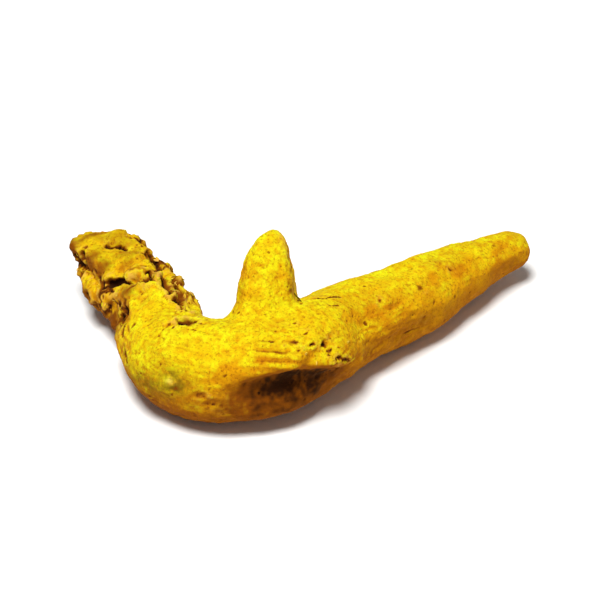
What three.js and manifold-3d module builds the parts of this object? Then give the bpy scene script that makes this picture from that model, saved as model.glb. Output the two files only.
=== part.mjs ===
// A dried turmeric root, as one solid lying on a level surface. It is the gnarled stub of an old rhizome,
// bent at a knuckle into one long tapering finger, with a short pointed shoot on the finger's back.
// Millimetres, +Z up; the origin is the middle of the footprint, on the surface that the root lies on.
import * as THREE from "three";
import { mergeVertices } from "three/addons/utils/BufferGeometryUtils.js";
import Module from "manifold-3d";

const wasm = await Module();
wasm.setup();

const RAD = Math.PI / 180;
const UP = new THREE.Vector3(0, 0, 1);
const SHOOT_LEVEL = new THREE.Vector3(0, -1, 1).normalize(); // turns on the shoot are counted from this side

// ---- driving dimensions, millimetres --------------------------------------------------------------------

// The finger's axis from inside the stub to its tip: place on the surface, the clearance under the skin
// there, and the half width and half height of the section.
const FINGER = {
  stations: [
    { x: -3.9, y: 13.2, lift: 2.2, wide: 4.2, high: 4.2 }, // root end, inside the stub
    { x: -2.0, y: 8.2, lift: 0.9, wide: 5.4, high: 5.4 },
    { x: 0.6, y: 3.0, lift: 0.5, wide: 6.3, high: 6.3 }, // knuckle
    { x: 4.7, y: 0.0, lift: 0.4, wide: 6.9, high: 6.7 },
    { x: 9.2, y: -0.4, lift: 0.5, wide: 7.0, high: 6.8 },
    { x: 13.4, y: 0.5, lift: 0.6, wide: 7.3, high: 7.1 }, // belly
    { x: 17.8, y: 3.4, lift: 0.6, wide: 7.3, high: 7.0 },
    { x: 22.8, y: 10.1, lift: 0.7, wide: 6.0, high: 6.1 },
    { x: 29.0, y: 16.0, lift: 0.5, wide: 5.6, high: 5.7 },
    { x: 33.8, y: 20.4, lift: 0.4, wide: 5.5, high: 5.4 },
    { x: 38.5, y: 25.4, lift: 0.9, wide: 4.5, high: 4.5 },
    { x: 43.7, y: 30.2, lift: 1.5, wide: 3.7, high: 3.6 },
    { x: 49.5, y: 34.9, lift: 2.6, wide: 2.8, high: 2.6 }, // tip
  ],
  caps: { start: 4.0, end: 3.2, blunt: 0.85, slant: 0 },
  rings: { around: 44, cap: 5, spacing: 1.25 },
};

// The stub's axis in the same terms, from its broken end to the middle of the knuckle.
const STUB = {
  stations: [
    { x: -10.6, y: 26.6, lift: 1.0, wide: 5.5, high: 4.9 }, // broken end
    { x: -9.0, y: 23.4, lift: 0.7, wide: 5.4, high: 5.2 },
    { x: -5.8, y: 17.4, lift: 0.5, wide: 5.1, high: 5.3 },
    { x: -2.8, y: 11.0, lift: 0.7, wide: 5.3, high: 5.6 }, // neck
    { x: -0.2, y: 5.2, lift: 1.0, wide: 5.4, high: 5.5 },
    { x: 2.6, y: 1.4, lift: 2.2, wide: 4.2, high: 4.4 },
  ],
  caps: { start: 1.8, end: 3.0, blunt: 0.42, slant: 3.2 },
  rings: { around: 54, cap: 6, spacing: 0.74 },
};

// The shoot's axis, with the height of its middle, from inside the belly up and back to its point.
const SHOOT = {
  stations: [
    { x: 11.8, y: 2.6, z: 7.4, wide: 7.6, high: 7.0 },
    { x: 12.6, y: 5.4, z: 11.2, wide: 5.1, high: 5.2 },
    { x: 12.9, y: 6.8, z: 13.1, wide: 4.0, high: 4.2 },
    { x: 13.0, y: 8.2, z: 15.1, wide: 3.9, high: 3.7 },
    { x: 13.1, y: 10.5, z: 18.3, wide: 3.2, high: 3.0 },
    { x: 13.8, y: 13.1, z: 22.0, wide: 1.2, high: 1.3 }, // point
  ],
  caps: { start: 3.0, end: 2.0, blunt: 1.1, slant: 0 },
  rings: { around: 28, cap: 4, spacing: 1.0 },
};
const SLANT_REACH = 9; // how far along a limb its slanting end is felt
const SLANT_TURN = 36; // side on which a slanting end stands out most, in degrees from the top

// Old leaf scars that ring a limb: distance along the axis, how far the ring leans and towards which side,
// the height of its worn step, and how far the swelling behind the step reaches.
const STUB_COLLARS = [
  { at: 12.2, lean: 2.2, side: 150, step: 0.7, reach: 4.0 },
  { at: 20.4, lean: 1.8, side: 90, step: 0.6, reach: 3.8 },
  { at: 25.6, lean: 0.8, side: 60, step: 0.35, reach: 2.4 },
];
const FINGER_COLLARS = [
  { at: 30.6, lean: 2.4, side: 60, step: 0.3, reach: 4.0 },
  { at: 43.0, lean: 1.6, side: 30, step: 0.22, reach: 4.0 },
  { at: 54.5, lean: 1.2, side: -40, step: 0.22, reach: 3.0 },
  { at: 64.0, lean: 0.8, side: 80, step: 0.18, reach: 2.5 },
];
const SHOOT_COLLARS = [{ at: 8.6, lean: 1.6, side: -100, step: 0.25, reach: 2.5 }];
const STEP_EDGE = 1.1; // how sharply a step falls away
const STEP_WOBBLE = { lobes: 3, reach: 0.35 };

// Cracks in the skin: the two ends as distance along the axis and turn from the top in degrees, the half
// width, the depth, and the height of the lips that have curled up beside them.
const LIP_AWAY = 1.8; // half widths from the middle of a crack to its lip
const STUB_CRACKS = [
  { from: [4.2, 24], to: [5.8, -6], half: 0.9, depth: 0.8, lip: 0.25 },
  { from: [3.0, 74], to: [7.4, 66], half: 0.9, depth: 0.9, lip: 0.3 },
  { from: [10.4, 50], to: [14.2, 18], half: 1.1, depth: 1.3, lip: 0.35 },
  { from: [14.2, 18], to: [13.6, -20], half: 1.0, depth: 1.2, lip: 0.35 },
  { from: [8.4, -34], to: [14.6, -42], half: 1.1, depth: 1.3, lip: 0.5 },
  { from: [14.6, -42], to: [20.4, -40], half: 1.1, depth: 1.3, lip: 0.5 },
  { from: [22.0, -44], to: [24.4, -22], half: 0.9, depth: 1.0, lip: 0.35 },
  { from: [17.6, 62], to: [20.6, 84], half: 1.0, depth: 1.1, lip: 0.3 },
  { from: [8.0, 140], to: [15.0, 128], half: 1.1, depth: 1.0, lip: 0.3 },
  { from: [9.0, -118], to: [17.5, -130], half: 1.1, depth: 1.0, lip: 0.3 },
];
const FINGER_CRACKS = [
  { from: [13.4, 10], to: [14.2, -8], half: 0.9, depth: 0.7, lip: 0.2 }, // pit at the end of the neck
  { from: [28.0, 60], to: [30.4, 50], half: 0.9, depth: 0.6, lip: 0.35 }, // cluster of rootlet scars
  { from: [29.6, 90], to: [33.4, 92], half: 1.0, depth: 0.8, lip: 0.4 },
];
const SHOOT_CRACKS = [{ from: [8.8, 78], to: [15.6, 84], half: 0.8, depth: 0.5, lip: 0.45 }]; // sheath's edge

// Soft swellings and hollows: distance along the axis, turn from the top, half length, half width and height.
const STUB_SWELLINGS = [
  { at: 1.6, turn: 74, long: 2.6, wide: 2.4, height: 0.5 }, // lobes of the broken end
  { at: 0.8, turn: 44, long: 2.2, wide: 2.0, height: 1.3 },
  { at: 0.8, turn: 4, long: 2.2, wide: 2.2, height: -1.0 },
  { at: 2.2, turn: -58, long: 2.6, wide: 3.2, height: -0.6 },
  { at: 5.4, turn: 84, long: 3.0, wide: 3.0, height: 0.5 },
  { at: 2.4, turn: -20, long: 2.2, wide: 2.4, height: 0.5 },
  { at: 3.2, turn: 160, long: 3.0, wide: 4.0, height: -0.6 },
  { at: 14.5, turn: 88, long: 4.5, wide: 4.0, height: -0.8 },
  { at: 18.0, turn: 12, long: 3.4, wide: 3.0, height: 0.5 },
  { at: 16.5, turn: -72, long: 5.5, wide: 2.6, height: 0.3 }, // ruffled inner side
  { at: 9.0, turn: 180, long: 2.6, wide: 2.6, height: 0.9 }, // foot
];
const FINGER_SWELLINGS = [
  { at: 14.6, turn: 84, long: 1.3, wide: 1.3, height: 0.8 }, // bud scar on the knuckle, in a shallow ring
  { at: 14.6, turn: 84, long: 2.8, wide: 2.8, height: -0.5 },
  { at: 12.2, turn: 104, long: 5.0, wide: 5.0, height: 1.2 }, // heel of the knuckle
  { at: 3.6, turn: 96, long: 2.8, wide: 3.0, height: 1.0 }, // outer side of the neck
  { at: 25.0, turn: 58, long: 6.0, wide: 1.8, height: 0.5 }, // ledge, with a hollow under it
  { at: 25.2, turn: 85, long: 4.8, wide: 2.3, height: -2.1 },
  { at: 22.0, turn: 116, long: 6.0, wide: 3.0, height: 0.5 },
  { at: 31.5, turn: 114, long: 3.2, wide: 3.6, height: -1.3 },
  { at: 25.0, turn: 30, long: 5.0, wide: 3.0, height: 0.3 },
  { at: 31.6, turn: 80, long: 2.6, wide: 2.0, height: 0.6 }, // crumpled skin of the near side
  { at: 34.8, turn: 94, long: 1.8, wide: 1.6, height: 0.5 },
  { at: 38.5, turn: 64, long: 5.0, wide: 3.0, height: -0.35 },
  { at: 37.0, turn: 10, long: 5.0, wide: 2.6, height: 0.3 },
  { at: 47.0, turn: 50, long: 5.0, wide: 3.4, height: 0.35 },
  { at: 17.5, turn: -110, long: 4.0, wide: 5.0, height: -0.6 },
  { at: 29.0, turn: -75, long: 4.5, wide: 4.0, height: 0.5 },
  { at: 38.5, turn: -95, long: 1.7, wide: 1.7, height: 0.9 }, // stump of a broken side root
  { at: 38.5, turn: -95, long: 0.9, wide: 0.9, height: -0.6 },
  { at: 53.0, turn: -60, long: 4.0, wide: 3.0, height: -0.4 },
  { at: 60.0, turn: 30, long: 4.0, wide: 2.6, height: 0.25 },
  { at: 69.5, turn: 110, long: 4.0, wide: 2.4, height: -0.7 }, // worn side of the tip
  { at: 15.5, turn: 180, long: 3.4, wide: 3.4, height: 0.9 }, // foot
  { at: 50.5, turn: 180, long: 3.0, wide: 3.0, height: 0.9 }, // foot
];

// Lengthwise wrinkles from drying, as waves round the limb, waves per millimetre along it, phase and height.
const WRINKLES = [
  { around: 8, along: 0.012, phase: 0.4, height: 0.1 },
  { around: 11, along: -0.03, phase: 2.1, height: 0.07 },
  { around: 3, along: 0.055, phase: 1.2, height: 0.09 },
];
// Crumpled crust of the stub, in the same terms; it fades out over the neck.
const CRUST = [
  { around: 5, along: 0.12, phase: 0.9, height: 0.18 },
  { around: -4, along: 0.25, phase: 2.6, height: 0.16 },
  { around: 9, along: -0.09, phase: 4.1, height: 0.12 },
];
const CRUST_ENDS = { full: 20, none: 29 };

// Dry flakes of skin left standing along the stub's inner side: place and turn of the root end, the length,
// width and thickness of the blade, how far it leans out of the skin and how far it is twisted.
const FLAKES = [
  { at: 10.2, turn: -62, long: 4.2, wide: 3.6, thick: 1.0, lean: 9, twist: -24 },
  { at: 14.8, turn: -66, long: 4.4, wide: 3.8, thick: 1.0, lean: 11, twist: 14 },
  { at: 19.4, turn: -62, long: 4.6, wide: 3.8, thick: 1.0, lean: 12, twist: -10 },
  { at: 23.2, turn: -56, long: 3.6, wide: 3.4, thick: 1.0, lean: 12, twist: 20 },
  { at: 9.8, turn: 92, long: 4.2, wide: 3.6, thick: 1.0, lean: 10, twist: 12 },
];
const FLAKE_RINGS = { around: 14, along: 9 };
const FLAKE_SUNK = 0.55; // share of a blade's length behind its root
const FLAKE_TORN = { lobes: 3, reach: 0.16 }; // of its half width
const FLAKE_CURL = 0.12; // rise of its two ends, of its length

const ONE_PLACE = 1e-4; // points closer than this are one
const SKIN = { color: 0xe0ac12, roughness: 0.85, metalness: 0 };

// ---- geometry -------------------------------------------------------------------------------------------

const bell = (x) => Math.exp(-x * x);
const fade = (x, low, high) => THREE.MathUtils.smoothstep(x, low, high);

// A limb follows a curve; its section is an oval that changes along the way.
class Limb {
  constructor({ stations, caps, rings }, level) {
    const centres = stations.map((s) => new THREE.Vector3(s.x, s.y, s.z ?? s.lift + s.high));
    const girths = stations.map((s) => new THREE.Vector3(s.wide, s.high, 0));
    this.line = new THREE.CatmullRomCurve3(centres);
    this.girth = new THREE.CatmullRomCurve3(girths);
    this.length = this.line.getLength();
    this.caps = caps;
    this.rings = rings;
    this.level = level;
  }

  // The oval at a distance along the axis: its centre, its three directions and its two half sizes.
  section(distance) {
    const t = this.line.getUtoTmapping(THREE.MathUtils.clamp(distance / this.length, 0, 1));
    const centre = this.line.getPoint(t);
    const ahead = this.line.getTangent(t);
    const right = ahead.clone().cross(this.level).normalize();
    const up = right.clone().cross(ahead);
    const { x: wide, y: high } = this.girth.getPoint(t);
    return { centre, ahead, right, up, wide, high };
  }

  // The point of the skin at a distance along the axis and a turn from the top, raised so many millimetres.
  skin(distance, turn, raised = 0, swell = 1) {
    const { centre, ahead, right, up, wide, high } = this.section(distance);
    const slant = this.caps.slant * (1 - fade(distance, 0, SLANT_REACH));
    return centre
      .clone()
      .addScaledVector(ahead, -slant * Math.cos(turn - SLANT_TURN * RAD) * swell)
      .addScaledVector(right, Math.sin(turn) * (wide + raised) * swell)
      .addScaledVector(up, Math.cos(turn) * (high + raised) * swell);
  }

  // Distances of the rings of vertices, with the share of the full section that each has.
  places() {
    const { start, end, blunt } = this.caps;
    const { cap, spacing } = this.rings;
    const places = [];
    for (let i = 0; i < cap; i += 1) {
      const angle = (i / cap) * 90 * RAD;
      places.push({ distance: start * (1 - Math.cos(angle)), swell: Math.sin(angle) ** blunt });
    }
    const steps = Math.round((this.length - start - end) / spacing);
    for (let i = 0; i < steps; i += 1) {
      places.push({ distance: start + ((this.length - start - end) * i) / steps, swell: 1 });
    }
    for (let i = cap; i >= 0; i -= 1) {
      const angle = (i / cap) * 90 * RAD;
      places.push({ distance: this.length - end * (1 - Math.cos(angle)), swell: Math.sin(angle) ** blunt });
    }
    return places;
  }

  // A unit sphere drawn out along the limb: its poles are the limb's ends.
  geometry(relief) {
    const places = this.places();
    const { around } = this.rings;
    const geometry = new THREE.SphereGeometry(1, around, places.length - 1);
    const points = geometry.getAttribute("position");
    for (let i = 0; i < points.count; i += 1) {
      const { distance, swell } = places[Math.floor(i / (around + 1))];
      const turn = 90 * RAD - ((i % (around + 1)) / around) * 360 * RAD;
      const point = this.skin(distance, turn, swell * relief(this, distance, turn), swell);
      points.setXYZ(i, point.x, point.y, point.z);
    }
    return geometry;
  }
}

// Millimetres along and across the skin between a place on it and a feature.
function offsets(limb, distance, turn, at, turnAt) {
  const { wide, high } = limb.section(at);
  const across = Math.atan2(Math.sin(turn - turnAt * RAD), Math.cos(turn - turnAt * RAD));
  return [distance - at, (across * (wide + high)) / 2];
}

function swelling(limb, distance, turn, { at, turn: turnAt, long, wide, height }) {
  const [along, across] = offsets(limb, distance, turn, at, turnAt);
  return height * bell(along / long) * bell(across / wide);
}

function collar(distance, turn, { at, lean, side, step, reach }) {
  const wobble = STEP_WOBBLE.reach * Math.sin(STEP_WOBBLE.lobes * turn + at);
  const edge = at + lean * Math.cos(turn - side * RAD) + wobble;
  const past = distance - edge;
  return step * (past < 0 ? Math.exp(past / reach) : bell(past / STEP_EDGE));
}

function crack(limb, distance, turn, { from, to, half, depth, lip }) {
  const [along, across] = offsets(limb, distance, turn, from[0], from[1]);
  const run = to[0] - from[0];
  const [, width] = offsets(limb, to[0], to[1] * RAD, from[0], from[1]);
  const share = THREE.MathUtils.clamp((along * run + across * width) / (run * run + width * width), 0, 1);
  const away = Math.hypot(along - share * run, across - share * width) / half;
  return lip * bell(away - LIP_AWAY) - depth * bell(away);
}

function wave(distance, turn, { around, along, phase, height }) {
  return height * Math.sin(around * turn + along * 2 * Math.PI * distance + phase);
}

const sum = (list, value) => list.reduce((total, item) => total + value(item), 0);

function stubRelief(limb, distance, turn) {
  const crusty = 1 - fade(distance, CRUST_ENDS.full, CRUST_ENDS.none);
  return (
    sum(STUB_SWELLINGS, (s) => swelling(limb, distance, turn, s)) +
    sum(STUB_COLLARS, (c) => collar(distance, turn, c)) +
    sum(STUB_CRACKS, (c) => crack(limb, distance, turn, c)) +
    sum(WRINKLES, (w) => wave(distance, turn, w)) +
    crusty * sum(CRUST, (w) => wave(distance, turn, w))
  );
}

function fingerRelief(limb, distance, turn) {
  return (
    sum(FINGER_SWELLINGS, (s) => swelling(limb, distance, turn, s)) +
    sum(FINGER_COLLARS, (c) => collar(distance, turn, c)) +
    sum(FINGER_CRACKS, (c) => crack(limb, distance, turn, c)) +
    sum(WRINKLES, (w) => wave(distance, turn, w))
  );
}

function shootRelief(limb, distance, turn) {
  return (
    sum(SHOOT_COLLARS, (c) => collar(distance, turn, c)) +
    sum(SHOOT_CRACKS, (c) => crack(limb, distance, turn, c)) +
    sum(WRINKLES, (w) => wave(distance, turn, w))
  );
}

// One dry flake: a thin oval blade with a torn, curling edge, rooted in the skin.
function flake(limb, { at, turn, long, wide, thick, lean, twist }) {
  const { around, along } = FLAKE_RINGS;
  const blade = new THREE.SphereGeometry(1, around, along);
  const points = blade.getAttribute("position");
  for (let i = 0; i < points.count; i += 1) {
    const [x, y, z] = [points.getX(i), points.getY(i), points.getZ(i)];
    const torn = 1 + FLAKE_TORN.reach * Math.sin(FLAKE_TORN.lobes * Math.atan2(x, y) + at);
    const curl = FLAKE_CURL * y * y * long;
    points.setXYZ(i, (x * wide * torn) / 2, (y * long * torn) / 2, (z * thick) / 2 + curl);
  }
  const { ahead, centre } = limb.section(at);
  const foot = limb.skin(at, turn * RAD);
  const out = foot.clone().sub(centre).normalize();
  const side = ahead.clone().cross(out).normalize();
  const place = new THREE.Matrix4().makeBasis(side, ahead, side.clone().cross(ahead));
  const bent = new THREE.Matrix4()
    .makeRotationX(lean * RAD)
    .multiply(new THREE.Matrix4().makeRotationZ(twist * RAD))
    .multiply(new THREE.Matrix4().makeTranslation(0, (0.5 - FLAKE_SUNK) * long, 0));
  return blade.applyMatrix4(place.multiply(bent)).translate(foot.x, foot.y, foot.z);
}

// ---- solids ---------------------------------------------------------------------------------------------

function solidOf(geometry) {
  const bare = new THREE.BufferGeometry();
  bare.setAttribute("position", geometry.getAttribute("position"));
  bare.setIndex(geometry.getIndex());
  const merged = mergeVertices(bare, ONE_PLACE);
  return new wasm.Manifold(
    new wasm.Mesh({
      numProp: 3,
      vertProperties: merged.getAttribute("position").array,
      triVerts: new Uint32Array(merged.getIndex().array),
    }),
  );
}

function geometryOf(solid) {
  const { vertProperties, triVerts } = solid.getMesh();
  const geometry = new THREE.BufferGeometry();
  geometry.setAttribute("position", new THREE.BufferAttribute(new Float32Array(vertProperties), 3));
  geometry.setIndex(new THREE.BufferAttribute(new Uint32Array(triVerts), 1));
  geometry.computeVertexNormals();
  return geometry;
}

// The outer body alone, with no pocket sealed where the limbs meet.
function filled(solid) {
  return solid.decompose().reduce((largest, body) => (body.volume() > largest.volume() ? body : largest));
}

// Everything below the surface is worn off, which leaves a small flat on each foot.
function onSurface(solid) {
  const { min, max } = solid.boundingBox();
  const deep = 10;
  const below = new THREE.BoxGeometry(max[0] - min[0] + deep, max[1] - min[1] + deep, deep);
  below.translate((min[0] + max[0]) / 2, (min[1] + max[1]) / 2, -deep / 2);
  return solid.subtract(solidOf(below));
}

function turmericRoot() {
  const finger = new Limb(FINGER, UP);
  const stub = new Limb(STUB, UP);
  const shoot = new Limb(SHOOT, SHOOT_LEVEL);
  const grown = [
    solidOf(finger.geometry(fingerRelief)),
    solidOf(stub.geometry(stubRelief)),
    solidOf(shoot.geometry(shootRelief)),
    ...FLAKES.map((f) => solidOf(flake(stub, f))),
  ].reduce((whole, piece) => whole.add(piece));
  const mesh = new THREE.Mesh(geometryOf(onSurface(filled(grown))), new THREE.MeshStandardMaterial(SKIN));
  mesh.name = "turmeric_root";
  return mesh;
}

const part = new THREE.Group();
const root = turmericRoot();
const footprint = new THREE.Box3().setFromObject(root);
const middle = footprint.getCenter(new THREE.Vector3());
root.geometry.translate(-middle.x, -middle.y, 0);
part.add(root);

export default part;
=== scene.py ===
"""Builds a dried turmeric root on a pale studio floor: its wrinkled rind, the torn flakes and rootlet stumps
on it, and the powder that clings to it."""

import math
from itertools import product
from typing import NamedTuple

import bmesh
import bpy
import numpy as np
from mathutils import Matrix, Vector


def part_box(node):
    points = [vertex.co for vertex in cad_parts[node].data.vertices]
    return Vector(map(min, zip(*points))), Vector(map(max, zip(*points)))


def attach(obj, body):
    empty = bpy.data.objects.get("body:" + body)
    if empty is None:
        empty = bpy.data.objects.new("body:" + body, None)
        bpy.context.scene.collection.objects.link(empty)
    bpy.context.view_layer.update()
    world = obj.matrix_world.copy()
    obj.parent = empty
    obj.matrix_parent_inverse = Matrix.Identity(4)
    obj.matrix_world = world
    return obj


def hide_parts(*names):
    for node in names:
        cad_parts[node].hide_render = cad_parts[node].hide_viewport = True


bl_info = {
    "name": "Turmeric Root",
    "version": (1, 0, 0),
    "blender": (4, 5, 0),
    "location": "View3D > Sidebar > Turmeric",
    "description": "Makes a dried turmeric root with its rind, flakes, rootlet stumps and powder",
    "category": "Object",
}

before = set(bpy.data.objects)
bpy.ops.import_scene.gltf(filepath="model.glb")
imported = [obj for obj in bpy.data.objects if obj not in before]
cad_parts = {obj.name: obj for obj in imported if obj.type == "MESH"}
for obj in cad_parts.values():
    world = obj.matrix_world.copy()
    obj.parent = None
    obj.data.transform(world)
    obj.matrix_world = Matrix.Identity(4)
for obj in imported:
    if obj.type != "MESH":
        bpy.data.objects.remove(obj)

NODE = "turmeric_root"
BODY = "root"

MM = 0.001
METRES_TO_MM = 1000.0

# ---- the root's limbs ----
# Each limb's axis as (x, y, z, radius) in millimetres. Places along a limb are counted in
# millimetres from its first point, and turns round it in degrees from its upper side, towards
# its right hand.

KNUCKLE = (-16.71, -14.25, 0.0)  # where the limbs are measured from
FINGER_AXIS = (
    (-3.9, 13.2, 6.4, 4.2),  # inside the stub
    (-2.0, 8.2, 6.3, 5.4),
    (0.6, 3.0, 6.8, 6.3),  # knuckle
    (4.7, 0.0, 7.1, 6.8),
    (9.2, -0.4, 7.3, 6.9),
    (13.4, 0.5, 7.7, 7.2),  # belly
    (17.8, 3.4, 7.6, 7.15),
    (22.8, 10.1, 6.8, 6.05),
    (29.0, 16.0, 6.2, 5.65),
    (33.8, 20.4, 5.8, 5.45),
    (38.5, 25.4, 5.4, 4.5),
    (43.7, 30.2, 5.1, 3.65),
    (49.5, 34.9, 5.2, 2.7),  # tip
)
STUB_AXIS = (
    (-10.6, 26.6, 5.9, 5.2),  # broken end
    (-9.0, 23.4, 5.9, 5.3),
    (-5.8, 17.4, 5.8, 5.2),
    (-2.8, 11.0, 6.3, 5.45),  # neck
    (-0.2, 5.2, 6.5, 5.45),
    (2.6, 1.4, 6.6, 4.3),
)
SHOOT_AXIS = (
    (11.8, 2.6, 7.4, 7.3),
    (12.6, 5.4, 11.2, 5.15),
    (12.9, 6.8, 13.1, 4.1),
    (13.0, 8.2, 15.1, 3.8),
    (13.1, 10.5, 18.3, 3.1),
    (13.8, 13.1, 22.0, 1.25),  # point
)
UP = (0.0, 0.0, 1.0)
SHOOT_LEVEL = (0.0, -1.0, 1.0)  # turns on the shoot are counted from this side


class Fissure(NamedTuple):
    """A crack in the rind: its run as places (along, turn), and in millimetres its half width, its
    depth and the height of the torn lips beside it."""

    run: tuple
    half: float
    depth: float
    lip: float


class Scar(NamedTuple):
    """The round scar of a lost rootlet: its place, and in millimetres its radius, rim and pit."""

    along: float
    turn: float
    radius: float
    rim: float
    pit: float


class Patch(NamedTuple):
    """A soft-edged patch: its place, its half length and half width in millimetres, and for a dark
    patch, such as the stains and the painted shade, how dark it is."""

    along: float
    turn: float
    long: float
    wide: float
    dark: float = 0.0


STUB_FISSURES = (
    Fissure(((2.4, 22), (3.2, 14), (3.7, 6), (4.4, -2)), 0.3, 0.55, 0.16),
    Fissure(((1.6, 54), (2.5, 63), (2.4, 75), (2.7, 86)), 0.4, 0.9, 0.25),
    Fissure(((9.4, 50), (10.4, 40), (12.0, 31), (13.4, 22), (15.4, 16), (16.4, 6)), 0.46, 0.9, 0.3),
    Fissure(((12.6, -8), (14.8, -5), (16.6, 1)), 0.36, 0.9, 0.3),
    Fissure(((6.6, -34), (7.9, -43), (9.9, -43)), 0.32, 0.7, 0.25),
    Fissure(((13.2, -24), (15.5, -20), (17.2, -21), (19.5, -17), (20.6, -21)), 0.42, 1.2, 0.42),
    Fissure(((20.6, -21), (22.2, -24), (23.4, -27), (25.0, -20)), 0.36, 1.1, 0.4),
    Fissure(((16.2, -16), (18.4, -10), (20.2, -11)), 0.42, 1.1, 0.4),
    Fissure(((21.4, -12), (22.8, -17), (24.0, -15)), 0.4, 1.0, 0.4),
    Fissure(((14.6, 62), (15.6, 74), (17.2, 76), (18.8, 81)), 0.36, 0.9, 0.32),
    Fissure(((12.6, -44), (15.2, -50), (18.0, -46)), 0.34, 0.8, 0.35),
    Fissure(((4.6, -74), (7.8, -82), (9.0, -96)), 0.36, 0.8, 0.3),
    Fissure(((12.0, -84), (15.5, -92), (19.0, -88)), 0.38, 0.9, 0.35),
    Fissure(((3.8, 122), (8.2, 116), (11.0, 128)), 0.38, 0.9, 0.3),
    Fissure(((6.4, -132), (11.0, -126), (14.2, -134)), 0.38, 0.8, 0.3),
)
FINGER_FISSURES = (
    Fissure(((13.0, 2), (13.8, -6), (14.3, -13)), 0.45, 0.8, 0.35),
    Fissure(((1.0, 70), (2.6, 76)), 0.3, 0.5, 0.2),
    Fissure(((4.6, 68), (6.2, 73)), 0.3, 0.5, 0.22),
    Fissure(((8.4, 78), (9.8, 85)), 0.26, 0.4, 0.15),
    Fissure(((34.2, -6), (35.4, 2), (36.6, 4), (37.6, 8)), 0.16, 0.14, 0.1),
    Fissure(((34.3, 13), (35.6, 19)), 0.14, 0.1, 0.06),
    Fissure(((30.8, 68), (32.2, 78), (31.6, 90)), 0.26, 0.22, 0.35),
)
SCARS = (
    Scar(28.8, 45, 0.42, 0.14, 0.4),
    Scar(30.0, 49, 0.5, 0.16, 0.42),
    Scar(30.4, 58, 0.35, 0.12, 0.25),
    Scar(27.0, 37, 0.5, 0.1, 0.12),
    Scar(27.3, 46, 0.4, 0.1, 0.16),
    Scar(28.7, 30, 0.35, 0.06, 0.14),
    Scar(28.4, 13, 0.3, 0.05, 0.1),
    Scar(17.7, 86, 0.5, 0.1, 0.16),
    Scar(18.6, 96, 0.65, 0.14, 0.22),
    Scar(43.5, 36, 0.4, 0.08, 0.15),
    Scar(50.6, 84, 0.5, 0.1, 0.2),
    Scar(50.8, 40, 0.45, 0.06, 0.16),
    Scar(57.5, 33, 0.4, 0.06, 0.14),
    Scar(21.0, -40, 0.5, 0.1, 0.2),
    Scar(38.5, -95, 0.9, 0.1, 0.4),
    Scar(47.0, -72, 0.5, 0.1, 0.2),
    Scar(62.0, -30, 0.4, 0.06, 0.15),
    Scar(19.0, 128, 0.5, 0.1, 0.2),
)
# Brown patches in the crevice colour: stains, with painted shade in hollows and under crack edges, as under
# the long crack
STUB_STAINS = (
    Patch(15.4, 37, 1.6, 1.9, 0.42),  # under the long crack
    Patch(6.0, 46, 1.6, 1.6, 0.5),
    Patch(3.6, 54, 1.8, 1.8, 0.42),
    Patch(2.6, 14, 0.9, 1.6, 0.3),
    Patch(8.4, -38, 1.8, 1.0, 0.3),
    Patch(-0.6, 30, 0.7, 3.0, 0.35),  # rim of the broken end
    Patch(14.4, 98, 2.4, 1.3, 0.4),
    Patch(20.4, -24, 1.6, 0.5, 0.5),
)
FINGER_STAINS = (
    Patch(13.8, -5, 1.0, 0.7, 0.75),  # the pit at the neck
    Patch(9.0, 82, 2.2, 0.8, 0.25),
)
SHOOT_STAINS = (
    Patch(11.6, 52, 4.0, 1.1, 0.2),  # worn band beside the pale edge
    Patch(9.4, 56, 0.5, 0.5, 0.42),
    Patch(10.6, 50, 0.6, 0.4, 0.36),
    Patch(12.2, 58, 0.7, 0.4, 0.4),
    Patch(14.2, 60, 0.6, 0.4, 0.34),
)

# Patches and places on the stub.
STUB_SHOULDER = Patch(13.6, 30, 2.6, 2.6)  # torn skin beside the long crack
STUB_INSIDE = Patch(16.5, -46, 7.0, 3.0)  # torn skin in the fork of stub and finger
STUB_LESS_DARK = Patch(16.0, -50, 7.0, 2.4)  # less dark there: less dirt and less painted shade in the fork

# Patches and places on the finger.
BUD = (15.3, 76.0)  # the eye on the knuckle
# olive painted shade on the knuckle's lower side, below the eye
BUD_SHADE = Patch(12.4, 92, 2.6, 1.5)
RINGS = (11.0, 18)  # middle of the fine rings on the knuckle
CHEEK = Patch(12.5, 52, 4.5, 4.0)  # thick powder on the knuckle
BELLY_TOP = Patch(22.0, 45, 5.0, 4.0)  # thin powder
BELLY_SHOULDER = Patch(25.4, 38, 2.8, 3.0)
PIT_CLUSTER = Patch(30.5, 68, 2.6, 2.4)
TIP_LIT_SIDE = Patch(58.0, 50, 10.0, 4.5)  # less painted shade: the tip's flank is painted lighter

# A place on the shoot.
PALE_EDGE = (13, 78)

# Spans in millimetres along a limb, from where something starts to where it is full.
STUB_JOIN = (22.5, 15.5)  # the stub's crust
SHOOT_SEAM = (2.0, 4.0)  # the soft seam round the shoot's foot
SHOOT_JOIN = (6.0, 9.0)  # the shoot's own skin
EDGE_START = (8.0, 9.5)  # the shoot's pale edge
SMOOTH_TIP = (52.0, 58.0)  # fewer wrinkles on the finger
FAR_FINGER = (20.0, 48.0)  # less powder
RIDGE_POWDER = (30.0, 38.0)  # more powder on the finger's ridge
NECK_LESS_POWDER = (15.0, 11.0)  # less powder on the stub
SHADED_LOWER_SIDES = (36.0, 27.0)  # painted shade on the finger's lower sides
DIRTY_RIM = (1.6, -0.6)  # dirt towards the stub's broken end
BROKEN_FACE = (0.4, -1.2)

# Spans of turn on the stub, in degrees.
OUTER_FLANK = (42, 62)
INNER_FLANK = (-8, -30)

# Spans of nearness to a limb, which is 1 on its plain surface.
STUB_REACH = (2.2, 1.6)
SHOOT_REACH = (1.7, 1.35)
OTHER_LIMB = (1.5, 1.9)

# ---- noise ----

HASH_PRIMES = (73856093, 19349663, 83492791)
HASH_STIR = 1274126177
HASH_MASK = 0xFFFF
SEED_STEP, SEED_START = 40503, 977
OCTAVE_STEP = 17  # between the seeds of two octaves


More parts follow.
